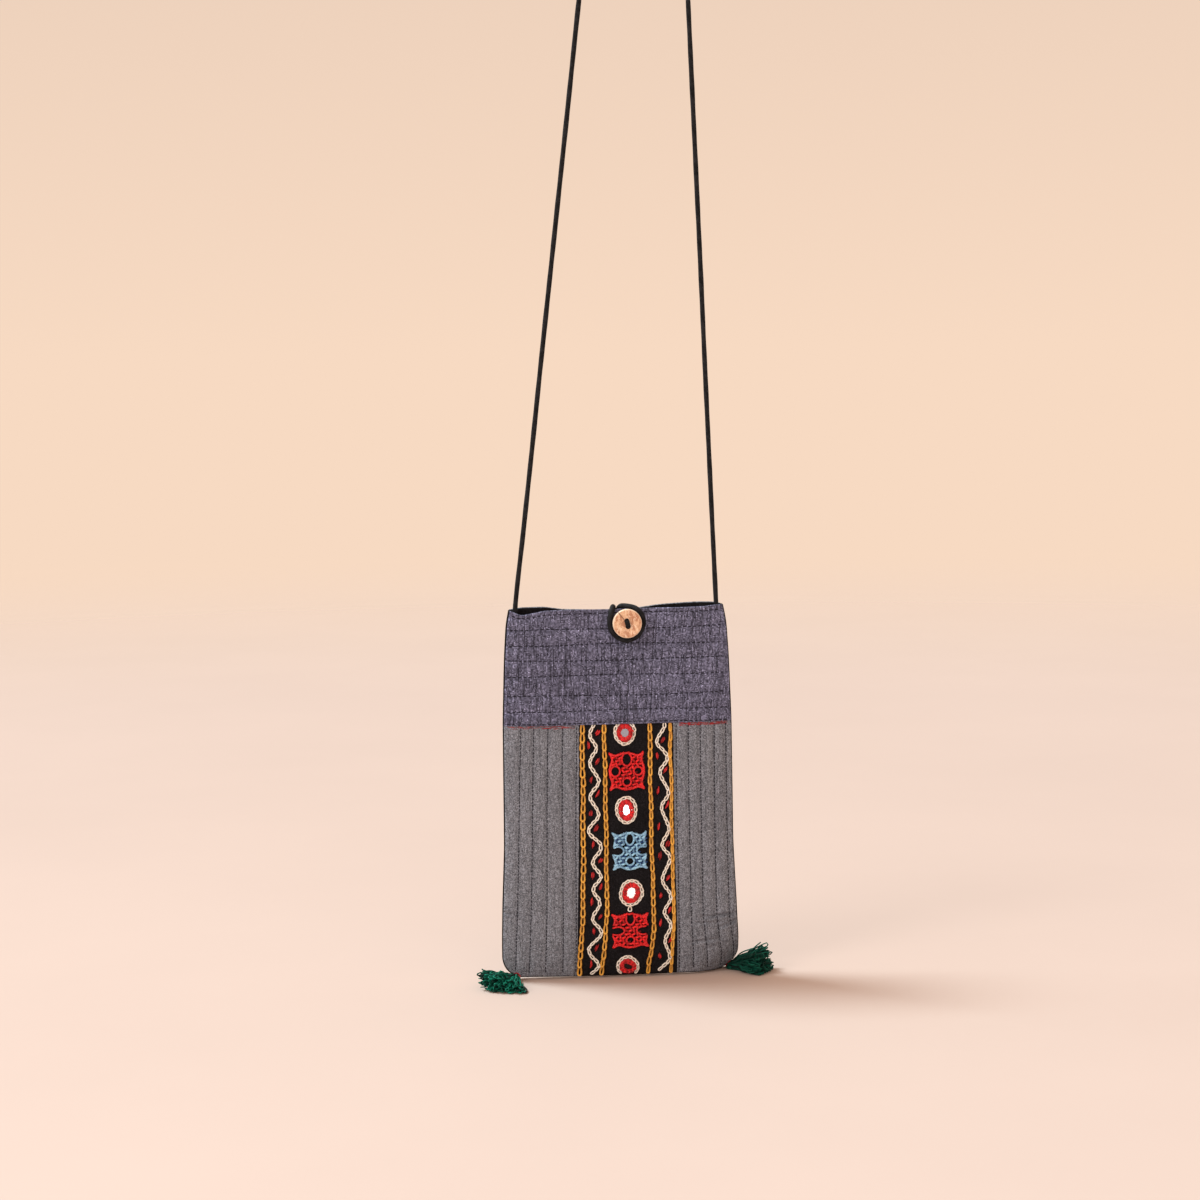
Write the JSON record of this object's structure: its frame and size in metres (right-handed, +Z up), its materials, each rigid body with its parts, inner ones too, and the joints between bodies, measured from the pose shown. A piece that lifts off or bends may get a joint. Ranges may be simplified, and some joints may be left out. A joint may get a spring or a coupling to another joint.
{
  "type": "phone sling bag",
  "caption": "Flat quilted cloth pouch for a phone on a thin cord sling, with a pieced front, an embroidered mirror-work band, a button and loop at the mouth and tassels at the lower corners.",
  "frame": {"origin": "where the sling rests on its hook: the underside of the top of the sling's loop", "axes": "+Z up along the hanging bag, +X to the right seen from the front, the front faces -Y"},
  "size_m": [0.1477, 0.0367, 0.5457],
  "materials": {
    "yoke_cloth": "blue-grey slub weave, matt",
    "grey_cloth": "grey fine weave with a slight sheen",
    "band_cloth": "black plain weave, matt",
    "lining_cloth": "black plain weave, matt",
    "black_cord": "black cloth tube and thread, matt",
    "gold_thread": "embroidery thread, satin",
    "cream_thread": "embroidery thread, satin",
    "red_thread": "embroidery thread, satin",
    "blue_thread": "embroidery thread, satin",
    "grey_thread": "quilting thread, matt",
    "green_thread": "cotton thread, matt",
    "coconut_shell": "polished coconut shell, satin",
    "mirror_glass": "small glass mirror",
    "red_bead": "opaque red bead, gloss"
  },
  "bodies": {
    "root": {"front_yoke": "yoke_cloth", "front_panel_left": "grey_cloth", "front_panel_right": "grey_cloth", "embroidered_band": "band_cloth", "back_panel": "grey_cloth", "lining": "lining_cloth", "sling_cord": "black_cord", "button": "coconut_shell", "button_thread": "black_cord", "button_loop": "black_cord", "mirror_1": "mirror_glass", "mirror_2": "mirror_glass", "mirror_3": "mirror_glass", "mirror_4": "mirror_glass", "corner_bead_left": "red_bead", "corner_bead_right": "red_bead", "tassel_left": "green_thread", "tassel_right": "green_thread"}
  },
  "joints": []
}
